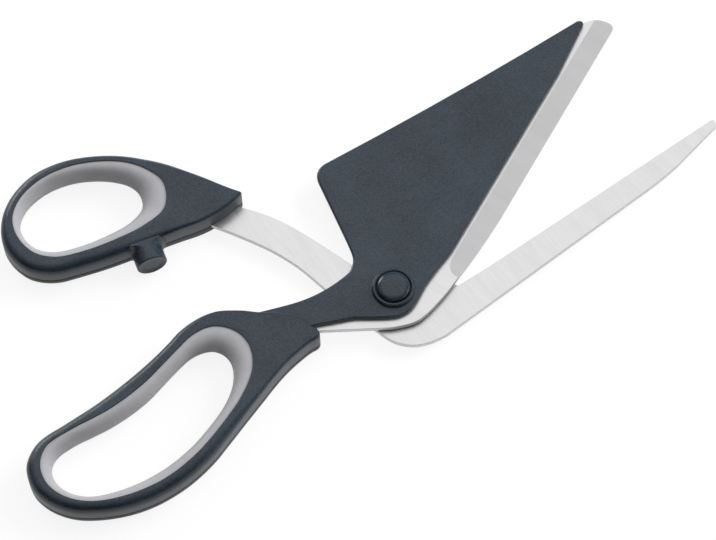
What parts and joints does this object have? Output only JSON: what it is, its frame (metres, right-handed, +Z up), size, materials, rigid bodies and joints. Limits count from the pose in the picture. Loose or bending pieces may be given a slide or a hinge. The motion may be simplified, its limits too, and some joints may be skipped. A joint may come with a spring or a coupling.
{
  "type": "pizza scissors",
  "caption": "Kitchen shears for pizza: offset handles with soft grip loops, two long steel blades on one bolt, and a flat triangular serving spatula fixed on top of the upper blade.",
  "frame": {"origin": "On the pivot axis, in the plane of the nut's flat underside and of the handles' back faces.", "axes": "+X runs along the bisector of the open blades towards their tips, +Z is up on the spatula's side, +Y completes a right-handed frame towards the thumb handle."},
  "size_m": [0.2816, 0.1755, 0.0122],
  "materials": {
    "blade_steel": "stainless sheet ground with fine lines across the blade",
    "slate_plastic": "dark slate grey, fine spark-eroded grain",
    "soft_grip": "soft light grey elastomer, satin",
    "cap_plastic": "dark slate grey, polished shoulder and matte centre",
    "washer_plastic": "natural acetal",
    "fastener_steel": "turned steel"
  },
  "bodies": {
    "finger_half": {"upper_blade": "blade_steel", "spatula": "slate_plastic", "finger_front_shell": "slate_plastic", "finger_back_shell": "slate_plastic", "finger_grip_insert": "soft_grip", "finger_tang_pin_1": "fastener_steel", "finger_tang_pin_2": "fastener_steel", "pivot_bolt": "fastener_steel", "pivot_spring_washer": "fastener_steel", "pivot_cap": "cap_plastic", "pivot_washer": "washer_plastic", "pivot_nut": "fastener_steel"},
    "thumb_half": {"lower_blade": "blade_steel", "thumb_front_shell": "slate_plastic", "thumb_back_shell": "slate_plastic", "thumb_grip_insert": "soft_grip", "thumb_tang_pin_1": "fastener_steel", "thumb_tang_pin_2": "fastener_steel", "stop_buffer": "slate_plastic"}
  },
  "joints": [
    {"name": "blade_pivot", "type": "hinge", "parent": "finger_half", "child": "thumb_half", "pos_m": [0, 0, 0], "axis": [0, 0, 1], "range_deg": [-20, 24.2]}
  ]
}
